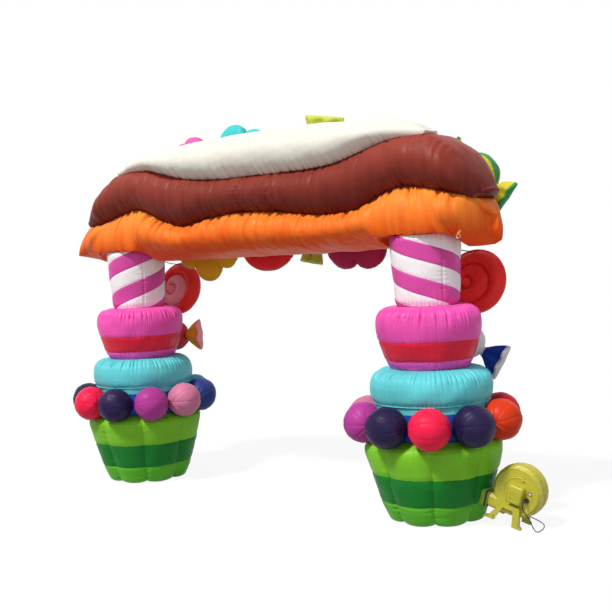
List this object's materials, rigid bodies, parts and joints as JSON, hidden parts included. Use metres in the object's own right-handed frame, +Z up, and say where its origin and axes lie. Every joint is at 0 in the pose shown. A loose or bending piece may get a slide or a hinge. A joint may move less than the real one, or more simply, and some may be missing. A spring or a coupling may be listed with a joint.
{
  "type": "inflatable entrance arch",
  "caption": "Blow-up entrance arch: two stacked cake columns with ball collars carry a wavy three-layer beam with flowers and sweets, kept up by a small blower",
  "frame": {"origin": "on the ground, under the middle of the box of the arch and its blower, cord left out", "axes": "+X runs along the span from the left column to the right column and the blower, +Y looks out of the face with the flowers, +Z is up"},
  "size_m": [4.6262, 1.4152, 3.1491],
  "materials": {
    "black_rope": "braided rope",
    "blue_fabric": "coated nylon, satin with puckered seams",
    "brown_fabric": "coated nylon, satin with puckered seams",
    "cane_fabric": "coated nylon, satin with puckered seams",
    "cream_fabric": "coated nylon, satin with puckered seams",
    "cyan_fabric": "coated nylon, satin with puckered seams",
    "gold_fabric": "coated nylon, satin with puckered seams",
    "hot_pink_fabric": "coated nylon, satin with puckered seams",
    "leaf_green_fabric": "coated nylon, satin with puckered seams",
    "lime_green_fabric": "coated nylon, satin with puckered seams",
    "magenta_fabric": "coated nylon, satin with puckered seams",
    "navy_fabric": "coated nylon, satin with puckered seams",
    "orange_fabric": "coated nylon, satin with puckered seams",
    "pink_fabric": "coated nylon, satin with puckered seams",
    "red_fabric": "coated nylon, satin with puckered seams",
    "rose_fabric": "coated nylon, satin with puckered seams",
    "sky_blue_fabric": "coated nylon, satin with puckered seams",
    "teal_fabric": "coated nylon, satin with puckered seams",
    "vermilion_fabric": "coated nylon, satin with puckered seams",
    "violet_fabric": "coated nylon, satin with puckered seams",
    "yellow_green_fabric": "coated nylon, satin with puckered seams",
    "black_plastic": "moulded, matte",
    "blower_plastic": "moulded, slightly rough",
    "cord_rubber": "smooth, dull",
    "grey_plastic": "moulded, satin",
    "motor_steel": "bare",
    "ring_steel": "polished"
  },
  "bodies": {
    "arch": {"base_left": "lime_green_fabric", "collar_left": "blue_fabric", "teal_tier_left": "teal_fabric", "pink_tier_left": "pink_fabric", "candy_column_left": "cane_fabric", "berry_left_01": "navy_fabric", "berry_left_02": "violet_fabric", "berry_left_03": "rose_fabric", "berry_left_04": "sky_blue_fabric", "berry_left_05": "cyan_fabric", "berry_left_06": "gold_fabric", "berry_left_07": "red_fabric", "berry_left_08": "vermilion_fabric", "berry_left_09": "navy_fabric", "berry_left_10": "hot_pink_fabric", "lollipop_left": "red_fabric", "lollipop_tether_left": "black_rope", "base_right": "lime_green_fabric", "collar_right": "blue_fabric", "teal_tier_right": "teal_fabric", "pink_tier_right": "pink_fabric", "candy_column_right": "cane_fabric", "berry_right_01": "navy_fabric", "berry_right_02": "hot_pink_fabric", "berry_right_03": "navy_fabric", "berry_right_04": "vermilion_fabric", "berry_right_05": "red_fabric", "berry_right_06": "rose_fabric", "berry_right_07": "cyan_fabric", "berry_right_08": "gold_fabric", "berry_right_09": "rose_fabric", "berry_right_10": "violet_fabric", "lollipop_right": "red_fabric", "lollipop_tether_right": "black_rope", "candy_left": "gold_fabric", "candy_right": "sky_blue_fabric", "candy_middle": "yellow_green_fabric", "candy_top": "leaf_green_fabric", "flower_pink": "magenta_fabric", "flower_cyan": "cyan_fabric", "flower_yellow": "gold_fabric", "flower_magenta": "magenta_fabric", "gumdrop_red": "red_fabric", "beam_cream": "cream_fabric", "beam_brown": "brown_fabric", "beam_orange": "orange_fabric", "blower_housing_front": "blower_plastic", "blower_housing_back": "blower_plastic", "motor_cover": "blower_plastic", "blower_motor": "motor_steel", "inlet_grille": "black_plastic", "cable_gland": "black_plastic", "inflation_sleeve": "yellow_green_fabric", "power_cord": "cord_rubber", "cord_coil": "cord_rubber", "power_plug": "cord_rubber"},
    "impeller": {"blower_impeller": "grey_plastic"},
    "switch": {"power_switch": "grey_plastic"},
    "ring_left": {"d_ring_left": "ring_steel"},
    "ring_right": {"d_ring_right": "ring_steel"}
  },
  "joints": [
    {"name": "impeller_spin", "type": "hinge", "parent": "arch", "child": "impeller", "pos_m": [2.13966, -0.04429, 0.25759], "axis": [0, 1, 0], "continuous": true},
    {"name": "switch_rock", "type": "hinge", "parent": "arch", "child": "switch", "pos_m": [2.22788, -0.11029, 0.25793], "axis": [0.2639, 0, 0.9646], "range_deg": [-16, 0]},
    {"name": "ring_left_swing", "type": "hinge", "parent": "arch", "child": "ring_left", "pos_m": [-1.91322, -0.24429, 2.06699], "axis": [1, 0, 0], "range_deg": [-85, 85]},
    {"name": "ring_right_swing", "type": "hinge", "parent": "arch", "child": "ring_right", "pos_m": [1.82778, -0.24429, 2.06699], "axis": [1, 0, 0], "range_deg": [-85, 85]}
  ]
}
